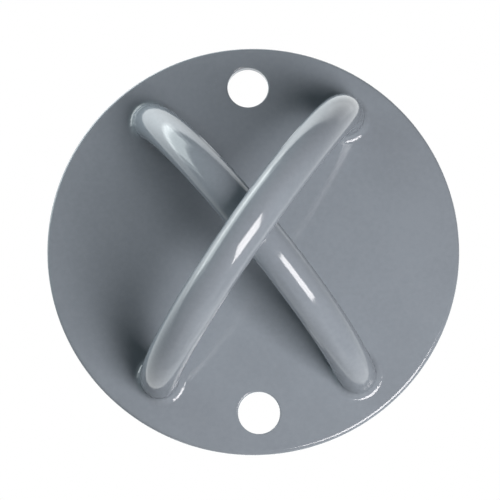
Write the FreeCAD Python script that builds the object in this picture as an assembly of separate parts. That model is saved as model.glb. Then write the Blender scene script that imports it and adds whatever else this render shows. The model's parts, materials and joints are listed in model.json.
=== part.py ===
import FreeCAD, Part
import math
import os

# A wall swing anchor: a round steel plate with two bolt holes and two bent round bars, which
# stand on the plate as arches and cross in front of it. A carabiner hooks round the crossing.
# Sizes are in millimetres. X runs to the right, Z up the wall and Y into the wall, and the
# origin is the centre of the flat face that lies on the wall.

# Base plate, a cut disc with its front edge rounded over
plate_diameter = 120.0
plate_thickness = 3.0
plate_front_round = 1.3
plate_back_break = 0.4

# Bolt holes, one straight above the other, and how far their centres lie inside the plate's rim
bolt_hole_diameter = 12.0
bolt_hole_inset = 12.0
bolt_hole_front_round = 0.6
bolt_hole_back_break = 0.3

# Round bar of both arches, and how far the centres of the feet of each lie inside the plate's rim
bar_diameter = 11.2
outer_foot_inset = 13.0
inner_foot_inset = 12.4
# Degrees between the plane of each arch and the line through the two bolt holes
arch_turn = 36.8
# Centreline of the outer arch at its crown, above the front of the plate
outer_crown_height = 46.0
# Gap between the two bars where the outer one passes over the inner one
crossing_clearance = 0.1

# Bar ends in the plate: the sockets they stand in, and how far short of the wall they are sawn
socket_clearance = 0.1
bar_end_setback = 1.5

# Welds: a hollow-faced bead round each foot, whose face is let in a little at both toes, and a
# plug that fills the flared rear of each socket
bead_radius = 2.2
bead_toe = 0.03
plug_flare = 1.5
plug_seat = 0.2

# How near to its place an edge has to be for the script to pick it
FIT = 0.001

ORIGIN = FreeCAD.Vector(0, 0, 0)
OUT_OF_WALL = FreeCAD.Vector(0, -1, 0)
PLATE_AXIS = FreeCAD.Vector(0, 1, 0)


def rings_at(shape, y, radius):
    """Return the circular edges of a shape that have this radius and lie in the plane at y."""
    found = []
    for edge in shape.Edges:
        if isinstance(edge.Curve, Part.Circle):
            same_radius = abs(edge.Curve.Radius - radius) < FIT
            same_plane = abs(edge.Curve.Center.y - y) < FIT
            if same_radius and same_plane:
                found.append(edge)
    return found


def behind(y):
    """Return a block that holds everything further into the wall than the plane at y."""
    width = 2 * plate_diameter
    corner = FreeCAD.Vector(-width / 2, y, -width / 2)
    return Part.makeBox(width, width, width, corner)


class Arch:
    """A round bar bent to one arc, in a plane through the axis of the plate.

    Its pieces are made with the plane of the arch on X and are then turned to their place.
    """

    def __init__(self, crown_height, foot_inset, angle):
        self.angle = angle
        half_span = plate_diameter / 2 - foot_inset
        self.bend_radius = (half_span**2 + crown_height**2) / (2 * crown_height)
        # Depth of the centre of the bend behind the front of the plate
        self.bend_depth = self.bend_radius - crown_height
        self.end_depth = plate_thickness - bar_end_setback

    def half_span_at(self, depth):
        """Distance from the plate's axis to the centreline, at a depth behind the plate's front."""
        return math.sqrt(self.bend_radius**2 - (self.bend_depth - depth) ** 2)

    def lean_at(self, depth):
        """Angle in radians between the bar and the plate's axis, at a depth behind its front."""
        return math.asin((self.bend_depth - depth) / self.bend_radius)

    def turned(self, shape):
        """Turn a shape from the plane on X to the plane of this arch."""
        shape.rotate(ORIGIN, PLATE_AXIS, -self.angle)
        return shape

    def bar_on_x(self, radius):
        """The bent bar at a radius, swept past the plate and sawn flat at both ends."""
        centre = FreeCAD.Vector(0, self.bend_depth - plate_thickness, 0)
        overrun = self.end_depth + bar_diameter
        turn_to_end = math.degrees(math.pi / 2 - self.lean_at(overrun))
        section = Part.Face(Part.Wire(Part.makeCircle(
            radius, centre + OUT_OF_WALL * self.bend_radius, FreeCAD.Vector(1, 0, 0))))
        spin_axis = FreeCAD.Vector(0, 0, 1)
        section.rotate(centre, spin_axis, -turn_to_end)
        return section.revolve(centre, spin_axis, 2 * turn_to_end).cut(behind(-bar_end_setback))

    def bar(self):
        """The bar itself."""
        return self.turned(self.bar_on_x(bar_diameter / 2))

    def sockets(self):
        """What is cut from the plate so that both ends of the bar pass in with clearance."""
        return self.turned(self.bar_on_x(bar_diameter / 2 + socket_clearance))

    def bead(self, side):
        """The weld bead round one foot: side is 1 for the upper foot and -1 for the lower one."""
        foot = FreeCAD.Vector(side * self.half_span_at(0), -plate_thickness, 0)
        reach = bar_diameter
        region = Part.makeCylinder(reach, 2 * reach, foot + OUT_OF_WALL * reach, PLATE_AXIS)
        core = self.bar_on_x(bar_diameter / 2 - bead_toe).common(region)
        bed_thickness = plate_thickness - bead_toe
        bed = Part.makeCylinder(reach, bed_thickness, foot + PLATE_AXIS * bead_toe, PLATE_AXIS)
        joined = bed.fuse(core).removeSplitter()
        corner = [edge for edge in joined.Edges
                  if abs(edge.BoundBox.YMin + bed_thickness) < FIT
                  and abs(edge.BoundBox.YMax + bed_thickness) < FIT
                  and edge.BoundBox.ZMax < reach - FIT]
        filled = joined.makeFillet(bead_radius, corner)
        ground = Part.makeCylinder(reach, plate_thickness, foot, PLATE_AXIS)
        return self.turned(filled.cut(ground).cut(self.bar_on_x(bar_diameter / 2)))

    def plug(self, side):
        """The plug weld behind one end of the bar, ground flush with the back of the plate."""
        seat = (bar_diameter / 2 + socket_clearance) / math.cos(self.lean_at(self.end_depth))
        inner_radius = seat + plug_seat
        centre = FreeCAD.Vector(side * self.half_span_at(self.end_depth), 0, 0)
        return self.turned(Part.makeCone(
            inner_radius + plug_flare, inner_radius, bar_end_setback, centre, OUT_OF_WALL))


def make_base_plate(arches):
    """The disc with its bolt holes and, for both arches, its sockets and their flared rears."""
    plate = Part.makeCylinder(plate_diameter / 2, plate_thickness, ORIGIN, OUT_OF_WALL)
    plate = plate.makeFillet(plate_front_round, rings_at(plate, -plate_thickness, plate_diameter / 2))
    plate = plate.makeChamfer(plate_back_break, rings_at(plate, 0, plate_diameter / 2))
    for side in (1, -1):
        centre = FreeCAD.Vector(0, 0, side * (plate_diameter / 2 - bolt_hole_inset))
        plate = plate.cut(Part.makeCylinder(
            bolt_hole_diameter / 2, plate_thickness, centre, OUT_OF_WALL))
    front_rings = rings_at(plate, -plate_thickness, bolt_hole_diameter / 2)
    plate = plate.makeFillet(bolt_hole_front_round, front_rings)
    plate = plate.makeChamfer(bolt_hole_back_break, rings_at(plate, 0, bolt_hole_diameter / 2))
    for arch in arches:
        plate = plate.cut(arch.sockets())
        plate = plate.cut(arch.plug(1)).cut(arch.plug(-1))
    return plate


def make_pieces():
    """Return every piece of the anchor by name."""
    inner_crown_height = outer_crown_height - bar_diameter - crossing_clearance
    outer = Arch(outer_crown_height, outer_foot_inset, 90.0 - arch_turn)
    inner = Arch(inner_crown_height, inner_foot_inset, 90.0 + arch_turn)
    feet = {
        "upper_right": (outer, 1),
        "lower_left": (outer, -1),
        "upper_left": (inner, 1),
        "lower_right": (inner, -1),
    }
    pieces = {
        "base_plate": make_base_plate((outer, inner)),
        "outer_arch": outer.bar(),
        "inner_arch": inner.bar(),
    }
    for place, (arch, side) in feet.items():
        pieces["front_weld_" + place] = arch.bead(side)
        pieces["rear_weld_" + place] = arch.plug(side)
    return pieces


os.makedirs("parts", exist_ok=True)
for name, shape in make_pieces().items():
    solid = shape.Solids[0]
    solid.exportStep("parts/" + name + ".step")
    print(name, "solids", len(shape.Solids), "valid", solid.isValid(), "cubic mm", round(solid.Volume, 1))
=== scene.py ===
"""Looks of a wall swing anchor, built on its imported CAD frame.

A round steel plate with two bolt holes carries two bent round bars, which cross in front of it.
Plate, bars and welds share one gloss grey powder coat. Sizes are in metres in the frame of the
CAD model: X to the right, Z up the wall, Y into the wall, origin at the centre of the plate's rear.
"""

from __future__ import annotations

import json
import logging
import math
from dataclasses import dataclass, field
from enum import Enum
from typing import Any, Callable, Iterable

import bpy
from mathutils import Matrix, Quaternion, Vector

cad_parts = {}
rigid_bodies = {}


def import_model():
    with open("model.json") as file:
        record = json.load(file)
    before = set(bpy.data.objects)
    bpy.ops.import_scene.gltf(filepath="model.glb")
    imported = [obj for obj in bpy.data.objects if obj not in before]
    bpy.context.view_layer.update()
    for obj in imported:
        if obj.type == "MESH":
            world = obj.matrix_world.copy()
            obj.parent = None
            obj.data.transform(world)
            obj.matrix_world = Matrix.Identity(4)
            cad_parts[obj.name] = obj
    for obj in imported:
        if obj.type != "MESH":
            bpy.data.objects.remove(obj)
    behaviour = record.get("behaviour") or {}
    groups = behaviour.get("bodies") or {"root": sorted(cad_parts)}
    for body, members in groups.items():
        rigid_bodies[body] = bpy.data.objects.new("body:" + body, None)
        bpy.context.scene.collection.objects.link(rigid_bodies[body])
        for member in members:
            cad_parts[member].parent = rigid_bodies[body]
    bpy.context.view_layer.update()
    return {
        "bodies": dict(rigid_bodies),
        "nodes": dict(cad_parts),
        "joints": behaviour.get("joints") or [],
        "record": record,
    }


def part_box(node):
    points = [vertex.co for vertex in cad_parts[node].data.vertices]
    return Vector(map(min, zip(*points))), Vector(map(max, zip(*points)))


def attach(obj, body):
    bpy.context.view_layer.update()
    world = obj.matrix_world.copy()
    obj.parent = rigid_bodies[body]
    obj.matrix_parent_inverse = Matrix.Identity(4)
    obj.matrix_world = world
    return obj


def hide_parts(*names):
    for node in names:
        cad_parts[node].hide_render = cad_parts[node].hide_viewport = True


log = logging.getLogger("wall_swing_anchor")

Colour = tuple[float, float, float]
Point = tuple[float, float, float]
Span = tuple[float, float]
BODY = "root"
OUT_OF_WALL = Vector((0.0, -1.0, 0.0))

# Bar radius, and how far the flare behind a socket narrows towards the front
BAR_RADIUS = 0.0056
PLUG_FLARE = 0.0015
# How near to its place a point has to be to count as there
FIT = 0.00002
# How far a search for a gap goes, in gaps, and how often it halves its range
SEARCH_REACH = 3.0
HALVINGS = 30
# How many times deeper than the plate the cutter of a bolt hole is
OVERCUT = 3.0


class Field:
    """A number that varies over a surface: an output socket that takes part in sums."""

    def __init__(self, shader: Shader, socket: bpy.types.NodeSocket) -> None:
        """Hold a socket.

        Args:
            shader: The node tree that the socket belongs to.
            socket: The output socket.
        """
        self.shader = shader
        self.socket = socket

    def math(self, operation: str, first: Field | float, second: Field | float) -> Field:
        """Add a Math node.

        Args:
            operation: The Math node's operation.
            first: Its first value.
            second: Its second value.

        Returns:
            The node's result.
        """
        node = self.shader.add(
            "ShaderNodeMath",
            {"operation": operation},
            {"Value": first, "Value_001": second},
        )
        return Field(self.shader, node.outputs[0])

    def __add__(self, other: Field | float) -> Field:
        """This plus the other."""
        return self.math("ADD", self, other)

    def __radd__(self, other: float) -> Field:
        """A number plus this."""
        return self.math("ADD", other, self)

    def __sub__(self, other: Field | float) -> Field:
        """This less the other."""
        return self.math("SUBTRACT", self, other)

    def __rsub__(self, other: float) -> Field:
        """A number less this."""
        return self.math("SUBTRACT", other, self)

    def __mul__(self, other: Field | float) -> Field:
        """This times the other."""
        return self.math("MULTIPLY", self, other)

    def __rmul__(self, other: float) -> Field:
        """A number times this."""
        return self.math("MULTIPLY", other, self)

    def ramp(self, start: float, end: float) -> Field:
        """A smooth rise from 0 to 1 as this goes from start to end.

        Args:
            start: Where the rise begins.
            end: Where it is complete.

        Returns:
            The rise.
        """
        node = self.shader.add(
            "ShaderNodeMapRange",
            {"interpolation_type": "SMOOTHSTEP", "clamp": True},
            {"Value": self, "From Min": start, "From Max": end},
        )
        return Field(self.shader, node.outputs[0])


class Shader:
    """The node tree of a material or of the world."""

    def __init__(self, owner: bpy.types.Material | bpy.types.World) -> None:
        """Empty the owner's node tree and keep it.

        Args:
            owner: The material or world to build.
        """
        owner.use_nodes = True
        self.tree = owner.node_tree
        self.tree.nodes.clear()

    def add(self, kind: str, settings: dict[str, Any], inputs: dict[str, Any]) -> bpy.types.Node:
        """Add a node.

        Args:
            kind: The node's type.
            settings: Its settings, which are set first.
            inputs: A value, colour, socket or Field for each input, by identifier or name.

        Returns:
            The node.
        """
        node = self.tree.nodes.new(kind)
        for name, value in settings.items():
            setattr(node, name, value)
        for name, value in inputs.items():
            self.feed(self.input_of(node, name), value)
        return node

    @staticmethod
    def input_of(node: bpy.types.Node, name: str) -> bpy.types.NodeSocket:
        """Find an input by its identifier, or else by its name.

        Args:
            node: The node.
            name: The identifier or name.

        Returns:
            The input socket.
        """
        for socket in node.inputs:
            if socket.identifier == name:
                return socket
        return node.inputs[name]

    def feed(self, socket: bpy.types.NodeSocket, value: Any) -> None:
        """Link or set an input.

        Args:
            socket: The input socket.
            value: A Field or an output socket to link, or the value to set.
        """
        if isinstance(value, Field):
            self.tree.links.new(value.socket, socket)
        elif isinstance(value, bpy.types.NodeSocket):
            self.tree.links.new(value, socket)
        else:
            socket.default_value = value

    def field(self, node: bpy.types.Node, output: int | str = 0) -> Field:
        """One output of a node, as a Field."""
        return Field(self, node.outputs[output])

    def noise(
        self, place: bpy.types.NodeSocket, grain: float, detail: float, roughness: float = 0.5
    ) -> Field:
        """Smooth random variation with cells of a real size.

        Args:
            place: The coordinates to read.
            grain: The size of a cell in metres.
            detail: How many finer layers it has.
            roughness: The strength of each finer layer.

        Returns:
            Values from 0 to 1 with a mean of about a half.
        """
        node = self.add(
            "ShaderNodeTexNoise",
            {},
            {"Vector": place, "Scale": 1.0 / grain, "Detail": detail, "Roughness": roughness},
        )
        return self.field(node)

    def blend(self, share: Field, low: Any, high: Any) -> bpy.types.NodeSocket:
        """Mix two colours.

        Args:
            share: The share of the second colour, from 0 to 1.
            low: The first colour, or a socket.
            high: The second colour, or a socket.

        Returns:
            The mixed colour.
        """
        node = self.add(
            "ShaderNodeMix",
            {"data_type": "RGBA"},
            {"Factor_Float": share, "A_Color": low, "B_Color": high},
        )
        return node.outputs["Result"]


@dataclass(frozen=True)
class PowderCoat:
    """A gloss powder coat, sprayed and baked on steel.

    Attributes:
        name: The material's name.
        colour: The coat's colour.
        mottle: How far the colour strays from its mean, as a share of it.
        film_grain: The size of the patches where the sprayed film is thick.
        speck_grain: The size of the specks in the film.
        speck_share: The share of the mottling that is specks.
        film_span: The film's values at which the colour is darkest and lightest.
        roughness: The roughness of the coat.
        roughness_stray: How far the roughness strays from its mean.
        patch_grain: The size of the patches where it strays.
        refraction: The refractive index of the coat.
        peel_grain: The size of the dimples of the baked coat.
        peel_depth: The height of the dimples.
        ripple_grain: The size of the unevenness of the steel under the coat.
        ripple_depth: The height of that unevenness.
    """

    name: str
    colour: Colour = (0.248, 0.28, 0.314)
    mottle: float = 0.05
    film_grain: float = 0.03
    speck_grain: float = 0.0012
    speck_share: float = 0.4
    film_span: Span = (0.3, 0.7)
    roughness: float = 0.11
    roughness_stray: float = 0.02
    patch_grain: float = 0.015
    refraction: float = 1.5
    peel_grain: float = 0.0022
    peel_depth: float = 0.000001
    ripple_grain: float = 0.012
    ripple_depth: float = 0.000004

    def build(self) -> bpy.types.Material:
        """Make the material.

        Returns:
            The finished material.
        """
        material = bpy.data.materials.new(self.name)
        shader = Shader(material)
        place = shader.add("ShaderNodeTexCoord", {}, {}).outputs["Object"]
        surface = shader.add(
            "ShaderNodeBsdfPrincipled",
            {},
            {
                "Base Color": self.tint(shader, place),
                "Roughness": self.gloss(shader, place),
                "Normal": self.relief(shader, place),
                "IOR": self.refraction,
            },
        )
        shader.add("ShaderNodeOutputMaterial", {}, {"Surface": surface.outputs["BSDF"]})
        return material

    def tint(self, shader: Shader, place: bpy.types.NodeSocket) -> bpy.types.NodeSocket:
        """The colour, a little lighter where the sprayed film is thick.

        Args:
            shader: The material's nodes.
            place: The coordinates to read.

        Returns:
            The colour socket.
        """
        clouds = shader.noise(place, self.film_grain, detail=3.0)
        specks = shader.noise(place, self.speck_grain, detail=2.0)
        film = (1.0 - self.speck_share) * clouds + self.speck_share * specks
        thin = tuple(part * (1.0 - self.mottle) for part in self.colour)
        thick = tuple(part * (1.0 + self.mottle) for part in self.colour)
        return shader.blend(film.ramp(*self.film_span), (*thin, 1.0), (*thick, 1.0))

    def gloss(self, shader: Shader, place: bpy.types.NodeSocket) -> Field:
        """The roughness, which strays in soft patches.

        Args:
            shader: The material's nodes.
            place: The coordinates to read.

        Returns:
            The roughness.
        """
        patches = 2.0 * shader.noise(place, self.patch_grain, detail=2.0) - 1.0
        return self.roughness + self.roughness_stray * patches

    def relief(self, shader: Shader, place: bpy.types.NodeSocket) -> bpy.types.NodeSocket:
        """The dimples of the coat over the unevenness of the steel.

        Args:
            shader: The material's nodes.
            place: The coordinates to read.

        Returns:
            The normal socket.
        """
        height = self.height(shader, place)
        bump = shader.add("ShaderNodeBump", {}, {"Strength": 1.0, "Distance": 1.0, "Height": height})
        return bump.outputs["Normal"]

    def height(self, shader: Shader, place: bpy.types.NodeSocket) -> Field:
        """The height of the coat's surface.

        Args:
            shader: The material's nodes.
            place: The coordinates to read.

        Returns:
            The height in metres.
        """
        dimples = shader.noise(place, self.peel_grain, detail=1.0, roughness=0.4)
        ripples = shader.noise(place, self.ripple_grain, detail=2.0, roughness=0.4)
        return self.peel_depth * dimples + self.ripple_depth * ripples


@dataclass(frozen=True)
class BarCoat(PowderCoat):
    """The coat on the bars, uneven over the weld spatter near the plate.

    Attributes:
        spatter_grain: The size of the spatter.
        spatter_depth: The height of the spatter under the coat.
        spatter_start: Where on Y the spatter begins.
        spatter_end: Where on Y it is thickest.
    """

    spatter_grain: float = 0.0016
    spatter_depth: float = 0.00003
    spatter_start: float = -0.015
    spatter_end: float = -0.005

    def height(self, shader: Shader, place: bpy.types.NodeSocket) -> Field:
        """The height of the coat's surface, with the spatter.

        Args:
            shader: The material's nodes.
            place: The coordinates to read.

        Returns:
            The height in metres.
        """
        spatter = shader.noise(place, self.spatter_grain, detail=2.0, roughness=0.6)
        parts = shader.add("ShaderNodeSeparateXYZ", {}, {"Vector": place})
        near_plate = shader.field(parts, "Y").ramp(self.spatter_start, self.spatter_end)
        return super().height(shader, place) + self.spatter_depth * spatter * near_plate


def choose(*pieces: bpy.types.Object) -> None:
    """Select these objects alone, and make the first one active.

    Args:
        pieces: The objects.
    """
    bpy.ops.object.select_all(action="DESELECT")
    for piece in pieces:
        piece.select_set(True)
    bpy.context.view_layer.objects.active = pieces[0]


def edit_edges(piece: bpy.types.Object, wanted: Callable[[Vector], bool]) -> None:
    """Open a mesh in edit mode with only the edges selected whose two ends are wanted.

    Args:
        piece: The mesh object.
        wanted: Says whether an edge may end at a point.
    """
    choose(piece)
    bpy.ops.object.mode_set(mode="EDIT")
    bpy.ops.mesh.select_mode(type="EDGE")
    bpy.ops.mesh.select_all(action="DESELECT")
    bpy.ops.object.mode_set(mode="OBJECT")
    points = piece.data.vertices
    for edge in piece.data.edges:
        edge.select = all(wanted(points[end].co) for end in edge.vertices)
    bpy.ops.object.mode_set(mode="EDIT")


def cut_away(piece: bpy.types.Object, cutter: bpy.types.Object) -> None:
    """Cut one object out of another, and delete the cutter.

    Args:
        piece: What is cut.
        cutter: What is cut out of it.
    """
    choose(piece)
    cut = piece.modifiers.new("cut", "BOOLEAN")
    cut.operation = "DIFFERENCE"
    cut.solver = "EXACT"
    cut.object = cutter
    bpy.ops.object.modifier_apply(modifier=cut.name)
    bpy.data.objects.remove(cutter)


def settle(piece: bpy.types.Object) -> None:
    """Put an object's place, turn and scale into its mesh, with its faces pointing outwards.

    Args:
        piece: The mesh object.
    """
    choose(piece)
    bpy.ops.object.transform_apply(location=True, rotation=True, scale=True)
    bpy.ops.object.mode_set(mode="EDIT")
    bpy.ops.mesh.select_all(action="SELECT")
    bpy.ops.mesh.normals_make_consistent(inside=False)
    bpy.ops.object.mode_set(mode="OBJECT")


@dataclass(frozen=True)
class ArchLine:
    """The centreline of one arch: an arc in a plane through the plate's axis.

    Attributes:
        half_span: From the plate's axis to the centreline, where it meets the plate's front.
        crown_height: Of the centreline above the plate's front.
        direction: Degrees from X to the arch's upper foot.
    """

    half_span: float
    crown_height: float
    direction: float

    def across(self, side: int) -> Vector:
        """The direction from the plate's axis to a foot, where side is 1 for the upper one."""
        angle = math.radians(self.direction)
        return side * Vector((math.cos(angle), 0.0, math.sin(angle)))

    @property
    def bend_radius(self) -> float:
        """The radius of the arc."""
        return (self.half_span**2 + self.crown_height**2) / (2.0 * self.crown_height)

    def nearest(self, point: Vector, front: float) -> Vector:
        """The point of the arc nearest to another.

        Args:
            point: The other point.
            front: Where the plate's front lies on Y.

        Returns:
            The point of the arc.
        """
        centre = Vector((0.0, front + self.bend_radius - self.crown_height, 0.0))
        offset = point - centre
        across = self.across(1)
        in_plane = across * offset.dot(across) + OUT_OF_WALL * offset.dot(OUT_OF_WALL)
        return centre + in_plane.normalized() * self.bend_radius

    def way_out(self, start: Vector, course: Vector, gap: float, front: float) -> Vector:
        """Go from a point near the arc until the arc is a given distance away.

        Args:
            start: Where to start.
            course: The direction to go.
            gap: The distance from the arc to reach.
            front: Where the plate's front lies on Y.

        Returns:
            The point reached.
        """
        near = 0.0
        far = SEARCH_REACH * gap
        for _ in range(HALVINGS):
            middle = (near + far) / 2.0
            point = start + course * middle
            if (point - self.nearest(point, front)).length < gap:
                near = middle
            else:
                far = middle
        return start + course * far


class Foot(Enum):
    """The four feet of the arches: place on the plate, arch, side, and where the weld begins."""

    UPPER_RIGHT = ("upper_right", "outer", 1, 60.2)
    LOWER_LEFT = ("lower_left", "outer", -1, 46.2)
    UPPER_LEFT = ("upper_left", "inner", 1, 133.8)
    LOWER_RIGHT = ("lower_right", "inner", -1, 119.8)

    @property
    def place(self) -> str:
        """The foot's place, as the names of its welds give it."""
        return self.value[0]

    @property
    def line(self) -> ArchLine:
        """The centreline of the foot's arch."""
        return ARCH_LINES[self.value[1]]

    @property
    def side(self) -> int:
        """1 for the upper foot of an arch and -1 for the lower one."""
        return self.value[2]

    @property
    def weld_start(self) -> float:
        """Where the unevenness of the foot's bead begins, in radians, so that no two are alike."""
        return self.value[3]


@dataclass
class SubAssembly:
    """A group of CAD nodes that share one finish."""

    nodes: tuple[str, ...]
    finish: PowderCoat

    def build(self, frame: dict[str, Any]) -> None:
        """Give the finish to every node of the group.
        """
        material = self.finish.build()
        for name in self.nodes:
            self.dress(frame["nodes"][name], material)

    def dress(self, piece: bpy.types.Object, material: bpy.types.Material) -> None:
        """Give one piece its material.

        Args:
            piece: The mesh object.
            material: Its material.
        """
        piece.data.materials.clear()
        piece.data.materials.append(material)
        log.info("dressed %s with %s", piece.name, self.finish.name)


@dataclass
class BasePlate(SubAssembly):
    """The round plate, turned anew with a rim fine enough for the coat's sharp reflections.

    Attributes:
        front_round: The radius of the rim's front edge.
        back_break: The chamfer of the rim's rear edge.
        hole_front_round: The radius of the bolt holes' front edges.
        hole_back_break: The chamfer of the bolt holes' rear edges.
        fullness: How square a rounded edge is, where 0.5 is a quarter circle.
        rim_steps: Straight pieces round the rim.
        hole_steps: Straight pieces round a hole.
        round_steps: Straight pieces across a rounded edge.
        smooth_angle: Degrees between two faces up to which they are shaded as one.
        face_weight: How strongly the large faces hold the shading of their edges, up to 100.
    """

    nodes: tuple[str, ...] = ("base_plate",)
    finish: PowderCoat = field(default_factory=lambda: PowderCoat("plate_coat"))
    front_round: float = 0.0013
    back_break: float = 0.0004
    hole_front_round: float = 0.0006
    hole_back_break: float = 0.0003
    fullness: float = 0.6
    rim_steps: int = 360
    hole_steps: int = 120
    round_steps: int = 10
    smooth_angle: float = 30.0
    face_weight: int = 100

    def build(self, frame: dict[str, Any]) -> None:
        """Make the plate in place of its node.
        """
        low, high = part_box("base_plate")
        radius = (high[0] - low[0]) / 2.0
        thickness = high[1] - low[1]
        middle = OUT_OF_WALL * thickness / 2.0
        plate = self.disc("plate", middle, radius, thickness, self.rim_steps)
        self.soften(plate, Vector(), radius, thickness, self.front_round, self.back_break)
        holes = next(mount for mount in frame["record"]["mounts"] if mount["name"] == "bolt_holes")
        bore = holes["dims"]["hole_r_mm"] / 1000.0
        from_centre = Vector((0.0, 0.0, holes["dims"]["spacing_y_mm"] / 2000.0))
        for centre in (from_centre, -from_centre):
            cutter = self.disc("bore", middle + centre, bore, OVERCUT * thickness, self.hole_steps)
            cut_away(plate, cutter)
        for centre in (from_centre, -from_centre):
            self.soften(plate, centre, bore, thickness, self.hole_front_round, self.hole_back_break)
        for foot in Foot:
            self.open_socket(plate, foot, -thickness)
        settle(plate)
        bpy.ops.object.shade_smooth_by_angle(angle=math.radians(self.smooth_angle))
        even = plate.modifiers.new("even", "WEIGHTED_NORMAL")
        even.keep_sharp = True
        even.weight = self.face_weight
        bpy.ops.object.modifier_apply(modifier=even.name)
        self.dress(plate, self.finish.build())
        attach(plate, BODY)
        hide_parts(*self.nodes)

    @staticmethod
    def disc(name: str, middle: Vector, radius: float, depth: float, steps: int) -> bpy.types.Object:
        """A plain disc that faces the room.

        Args:
            name: Its name.
            middle: Its centre, halfway through it.
            radius: Its radius.
            depth: Its depth.
            steps: Straight pieces round it.

        Returns:
            The disc.
        """
        bpy.ops.object.select_all(action="DESELECT")
        bpy.ops.mesh.primitive_cylinder_add(
            vertices=steps,
            radius=radius,
            depth=depth,
            location=middle,
            rotation=(math.pi / 2.0, 0.0, 0.0),
        )
        disc = bpy.context.object
        disc.name = name
        bpy.ops.object.transform_apply(location=True, rotation=True, scale=True)
        return disc

    def soften(
        self,
        plate: bpy.types.Object,
        centre: Vector,
        radius: float,
        thickness: float,
        front: float,
        back: float,
    ) -> None:
        """Round the front edge of a rim or hole and chamfer its rear edge.

        Args:
            plate: The plate.
            centre: The centre of the rim or hole.
            radius: Its radius.
            thickness: The plate's thickness.
            front: The radius of the front edge.
            back: The chamfer of the rear edge.
        """
        for depth, size, steps in ((-thickness, front, self.round_steps), (0.0, back, 1)):
            def on_edge(point: Vector) -> bool:
                """Whether a point lies on this edge."""
                reach = math.hypot(point.x - centre.x, point.z - centre.z)
                return abs(point.y - depth) < FIT and abs(reach - radius) < FIT

            edit_edges(plate, on_edge)
            bpy.ops.mesh.bevel(
                offset=size,
                segments=steps,
                profile=self.fullness,
                affect="EDGES",
                clamp_overlap=False,
            )
            bpy.ops.object.mode_set(mode="OBJECT")

    def open_socket(self, plate: bpy.types.Object, foot: Foot, front: float) -> None:
        """Cut the socket for one bar end, and the flare that its plug weld fills.

        Args:
            plate: The plate.
            foot: The foot.
            front: Where the plate's front lies on Y.
        """
        line = foot.line
        mouth = line.across(foot.side) * line.half_span + OUT_OF_WALL * -front
        along = (line.nearest(mouth + OUT_OF_WALL * BAR_RADIUS, front) - mouth).normalized()
        bpy.ops.object.select_all(action="DESELECT")
        bpy.ops.mesh.primitive_cylinder_add(
            vertices=self.hole_steps,
            radius=BAR_RADIUS,
            depth=4.0 * BAR_RADIUS,
            location=mouth,
            rotation=along.to_track_quat("Z", "Y").to_euler(),
        )
        cut_away(plate, bpy.context.object)
        # The flare's cutter is a cone twice as deep as the plug, halfway out of the plate's rear
        low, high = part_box("rear_weld_" + foot.place)
        rim = (high[0] - low[0]) / 2.0
        bpy.ops.mesh.primitive_cone_add(
            vertices=self.hole_steps,
            radius1=rim + PLUG_FLARE,
            radius2=rim - PLUG_FLARE,
            depth=2.0 * (high[1] - low[1]),
            location=((low[0] + high[0]) / 2.0, high[1], (low[2] + high[2]) / 2.0),
            rotation=(math.pi / 2.0, 0.0, 0.0),
        )
        cut_away(plate, bpy.context.object)


@dataclass
class Arches(SubAssembly):
    """The two bent bars, with the faint unevenness of cold bending under the coat."""

    nodes: tuple[str, ...] = ("outer_arch", "inner_arch")
    finish: PowderCoat = field(default_factory=lambda: BarCoat("bar_coat"))


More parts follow.
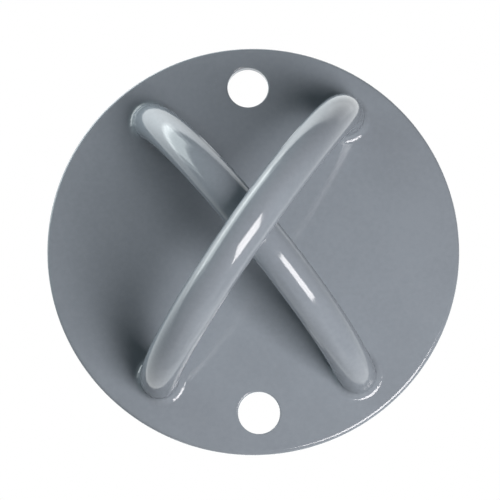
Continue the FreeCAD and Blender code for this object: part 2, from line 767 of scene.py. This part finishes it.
@dataclass
class FrontWelds(SubAssembly):
    """The beads round the feet: hollow fillets that swell and ripple a little, as laid by hand.

    Attributes:
        radius: Of the hollow face.
        swell: How far the radius strays round the foot, as a share of it.
        swell_waves: The waves of that: how many go round a foot, their share, and their sense.
        ripple: How far the ripples of the weld pool stand out, as a share of the radius.
        ripples: How many ripples go round a foot.
        ripple_drift: How far the ripples stray from even steps, in radians.
        ring_steps: Sections round a foot.
        face_steps: Straight pieces across the hollow face.
        back_steps: Straight pieces of each of the two hidden sides.
        smooth_angle: Degrees between two faces up to which they are shaded as one.
    """

    nodes: tuple[str, ...] = tuple("front_weld_" + foot.place for foot in Foot)
    finish: PowderCoat = field(
        default_factory=lambda: PowderCoat("bead_coat", ripple_grain=0.0018, ripple_depth=0.000008)
    )
    radius: float = 0.0022
    swell: float = 0.06
    swell_waves: tuple[Point, ...] = ((2.0, 0.5, 1.0), (3.0, 0.3, -1.0), (5.0, 0.2, 1.0))
    ripple: float = 0.007
    ripples: int = 26
    ripple_drift: float = 1.5
    ring_steps: int = 208
    face_steps: int = 14
    back_steps: int = 3
    smooth_angle: float = 50.0

    def build(self, frame: dict[str, Any]) -> None:
        """Make the four beads in place of their nodes.
        """
        material = self.finish.build()
        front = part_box("base_plate")[0][1]
        for foot in Foot:
            bead = self.bead(foot, front)
            self.dress(bead, material)
            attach(bead, BODY)
            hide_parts("front_weld_" + foot.place)

    def bead(self, foot: Foot, front: float) -> bpy.types.Object:
        """One bead: a ring whose sections are moved to their place round the foot.

        Args:
            foot: The foot.
            front: Where the plate's front lies on Y.

        Returns:
            The bead.
        """
        section_steps = self.face_steps + 2 * self.back_steps
        bpy.ops.object.select_all(action="DESELECT")
        bpy.ops.mesh.primitive_torus_add(
            major_segments=self.ring_steps,
            minor_segments=section_steps,
            major_radius=BAR_RADIUS + self.radius,
            minor_radius=self.radius,
        )
        bead = bpy.context.object
        bead.name = "bead_" + foot.place
        for step in range(self.ring_steps):
            angle = 2.0 * math.pi * step / self.ring_steps
            for place, point in enumerate(self.section(foot, angle, front)):
                bead.data.vertices[step * section_steps + place].co = point
        settle(bead)
        bpy.ops.object.shade_smooth_by_angle(angle=math.radians(self.smooth_angle))
        return bead

    def section(self, foot: Foot, angle: float, front: float) -> list[Vector]:
        """The closed outline of a bead where a plane through the foot cuts it.

        Args:
            foot: The foot.
            angle: Of the plane, round the foot.
            front: Where the plate's front lies on Y.

        Returns:
            The outline, from the toe on the plate over the hollow face and round behind it.
        """
        line = foot.line
        middle = line.across(foot.side) * line.half_span + OUT_OF_WALL * -front
        course = Vector((math.cos(angle), 0.0, math.sin(angle)))
        start = foot.weld_start
        stray = sum(
            share * math.sin(count * angle + sense * start) for count, share, sense in self.swell_waves
        )
        drift = self.ripple_drift * math.sin(2.0 * angle + start)
        wave = math.sin(self.ripples * angle + drift)
        radius = self.radius * (1.0 + self.swell * stray)
        ball = line.way_out(middle + OUT_OF_WALL * radius, course, BAR_RADIUS + radius, front)
        to_plate = -OUT_OF_WALL
        to_bar = (line.nearest(ball, front) - ball).normalized()
        outline = []
        for step in range(self.face_steps + 1):
            share = step / self.face_steps
            aim = to_plate.slerp(to_bar, share)
            hump = self.ripple * wave * math.sin(math.pi * share)
            outline.append(ball + aim * radius * (1.0 + hump))
        corner = line.way_out(middle, course, BAR_RADIUS, front)
        bar_toe = outline[-1]
        plate_toe = outline[0]
        for step in range(1, self.back_steps + 1):
            outline.append(bar_toe.lerp(corner, step / self.back_steps))
        for step in range(1, self.back_steps):
            outline.append(corner.lerp(plate_toe, step / self.back_steps))
        return outline


@dataclass
class RearWelds(SubAssembly):
    """The plug welds behind the feet, ground flush before coating."""

    nodes: tuple[str, ...] = tuple("rear_weld_" + foot.place for foot in Foot)
    finish: PowderCoat = field(
        default_factory=lambda: PowderCoat(
            "plug_coat", roughness=0.2, ripple_grain=0.0012, ripple_depth=0.00004
        )
    )


@dataclass(frozen=True)
class SoftBox:
    """A rectangular studio lamp that points at the object.

    Attributes:
        name: The lamp's name.
        towards: The direction from the object to the lamp.
        distance: From the object to the lamp.
        width: Of the lamp's face.
        height: Of the lamp's face.
        radiance: The brightness of the face, where 1 is white.
        turn: Degrees that the lamp is turned about the line to the object.
        tint: The colour of its light.
    """

    name: str
    towards: Point
    distance: float
    width: float
    height: float
    radiance: float
    turn: float = 0.0
    tint: Colour = (1.0, 1.0, 1.0)

    def build(self) -> bpy.types.Object:
        """Make the lamp.

        Returns:
            The lamp object.
        """
        lamp = bpy.data.lights.new(self.name, "AREA")
        lamp.shape = "RECTANGLE"
        lamp.size = self.width
        lamp.size_y = self.height
        lamp.energy = self.radiance * math.pi * self.width * self.height
        lamp.color = self.tint
        rig = bpy.data.objects.new(self.name, lamp)
        direction = Vector(self.towards).normalized()
        rig.location = direction * self.distance
        rig.rotation_mode = "QUATERNION"
        upright = direction.to_track_quat("Z", "Y")
        rig.rotation_quaternion = upright @ Quaternion((0.0, 0.0, 1.0), math.radians(self.turn))
        rig.visible_camera = False
        bpy.context.scene.collection.objects.link(rig)
        return rig


@dataclass(frozen=True)
class Backdrop:
    """The white surroundings behind the object, which the coat mirrors past the plate's rim.

    Attributes:
        white: The colour that the camera sees behind the object.
        tint: The colour of the surroundings that the object sees.
        level: How bright they are straight behind the object.
        level_span: How far into the wall a direction points where that begins and is complete.
        glow: How much brighter they are beside the side lamp.
        glow_side: The direction of that brighter part.
        glow_rise: How far into the wall a direction points where it begins and is complete.
        glow_fall: The same for where it fades again.
        matt_share: The share of all this that lights the coat, apart from what it mirrors.
    """

    white: Colour = (1.0, 1.0, 1.0)
    tint: Colour = (0.96, 0.99, 1.0)
    level: float = 1.5
    level_span: Span = (-0.1, 0.9)
    glow: float = 4.5
    glow_side: Point = (-0.5, 0.0, 0.866)
    glow_rise: Span = (0.0, 0.12)
    glow_fall: Span = (0.1, 0.9)
    matt_share: float = 0.5

    def build(self) -> None:
        """Make the world."""
        world = bpy.data.worlds.new("studio")
        bpy.context.scene.world = world
        shader = Shader(world)
        direction = shader.add("ShaderNodeTexCoord", {}, {}).outputs["Generated"]
        parts = shader.add("ShaderNodeSeparateXYZ", {}, {"Vector": direction})
        behind = shader.field(parts, "Y")
        beside = shader.field(
            shader.add(
                "ShaderNodeVectorMath",
                {"operation": "DOT_PRODUCT"},
                {"Vector": direction, "Vector_001": self.glow_side},
            ),
            "Value",
        )
        band = behind.ramp(*self.glow_rise) * (1.0 - behind.ramp(*self.glow_fall))
        glow = band * beside.ramp(0.0, 1.0) * beside
        rays = shader.add("ShaderNodeLightPath", {}, {})
        share = shader.field(rays, "Is Glossy Ray") * (1.0 - self.matt_share) + self.matt_share
        strength = (self.level * behind.ramp(*self.level_span) + self.glow * glow) * share
        around = shader.add(
            "ShaderNodeBackground",
            {},
            {"Color": (*self.tint, 1.0), "Strength": strength},
        )
        seen = shader.add(
            "ShaderNodeBackground",
            {},
            {"Color": (*self.white, 1.0), "Strength": 1.0},
        )
        light = shader.add(
            "ShaderNodeMixShader",
            {},
            {
                "Fac": rays.outputs["Is Camera Ray"],
                "Shader": around.outputs["Background"],
                "Shader_001": seen.outputs["Background"],
            },
        )
        shader.add("ShaderNodeOutputWorld", {}, {"Surface": light.outputs["Shader"]})


@dataclass(frozen=True)
class Floor:
    """A plain pale floor, well below the object on its wall.

    Attributes:
        depth: How far below the object's centre it lies.
        size: The length of its sides.
        colour: Its colour.
        roughness: Of its paint.
    """

    depth: float = 1.5
    size: float = 1.6
    colour: Colour = (0.85, 0.85, 0.85)
    roughness: float = 0.9

    def build(self) -> None:
        """Make the floor."""
        bpy.ops.object.select_all(action="DESELECT")
        bpy.ops.mesh.primitive_plane_add(size=self.size, location=(0.0, 0.0, -self.depth))
        floor = bpy.context.object
        floor.name = "floor"
        material = bpy.data.materials.new("floor_paint")
        shader = Shader(material)
        surface = shader.add(
            "ShaderNodeBsdfPrincipled",
            {},
            {"Base Color": (*self.colour, 1.0), "Roughness": self.roughness},
        )
        shader.add("ShaderNodeOutputMaterial", {}, {"Surface": surface.outputs["BSDF"]})
        floor.data.materials.append(material)


@dataclass(frozen=True)
class Viewpoint:
    """The camera of the photograph: square on from a little below, with a slight roll.

    Attributes:
        aim: The point on the plate's front that the optical axis meets.
        distance: From that point to the camera.
        turn: Degrees that the camera stands to the left of square on.
        drop: Degrees that it stands below square on.
        roll: Degrees that it is turned about its own axis.
        lens: The focal length in millimetres.
        sensor: The width of the sensor in millimetres.
        nearest: How near to the camera a thing may be and still show.
    """

    aim: Point = (-0.00101, -0.0030, -0.00074)
    distance: float = 0.4892
    turn: float = 0.572
    drop: float = 9.499
    roll: float = -1.936
    lens: float = 121.21
    sensor: float = 36.0
    nearest: float = 0.01

    def build(self) -> None:
        """Make the camera and make it the scene's own."""
        turn = math.radians(self.turn)
        drop = math.radians(self.drop)
        level = Vector((-math.sin(turn), -math.cos(turn), 0.0))
        back = level * math.cos(drop) + Vector((0.0, 0.0, -math.sin(drop)))
        lens = bpy.data.cameras.new("photo_camera")
        lens.lens = self.lens
        lens.sensor_width = self.sensor
        lens.clip_start = self.nearest
        camera = bpy.data.objects.new("photo_camera", lens)
        camera.location = Vector(self.aim) + back * self.distance
        camera.rotation_mode = "QUATERNION"
        upright = back.to_track_quat("Z", "Y")
        camera.rotation_quaternion = upright @ Quaternion((0.0, 0.0, 1.0), math.radians(self.roll))
        bpy.context.scene.collection.objects.link(camera)
        bpy.context.scene.camera = camera


ARCH_LINES = {
    "outer": ArchLine(half_span=0.0470, crown_height=0.0460, direction=53.2),
    "inner": ArchLine(half_span=0.0476, crown_height=0.0347, direction=126.8),
}
# The key lamp gives the bright strips on both bars, the side lamp and its halo the pale tongue on
# the upper left leg, and the two cards soft edges on the right legs
LAMPS = (
    SoftBox(
        "key", (0.392, -0.839, -0.378), 0.42, 0.180, 0.235, 14.9, turn=45.0, tint=(1.0, 0.965, 0.965)
    ),
    SoftBox("side", (-0.762, -0.113, 0.638), 0.45, 0.212, 0.375, 3.7, tint=(0.92, 1.0, 1.0)),
    SoftBox("side_halo", (-0.762, -0.125, 0.638), 0.45, 0.267, 0.562, 1.7, tint=(0.92, 1.0, 1.0)),
    SoftBox("card_above", (0.566, 0.342, 0.751), 0.45, 0.22, 0.34, 0.45),
    SoftBox("card_below", (0.542, 0.326, -0.775), 0.45, 0.236, 0.52, 0.5),
)


def main() -> None:
    """Dress the frame, light it and look at it as the photograph does."""
    logging.basicConfig(level=logging.INFO, format="%(name)s: %(message)s")
    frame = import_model()
    for group in (BasePlate(), Arches(), FrontWelds(), RearWelds()):
        group.build(frame)
    Backdrop().build()
    Floor().build()
    for box in LAMPS:
        box.build()
        log.info("placed the %s lamp", box.name)
    Viewpoint().build()
    bpy.context.scene.view_settings.view_transform = "Standard"
    bpy.context.view_layer.update()


if __name__ == "__main__":
    main()
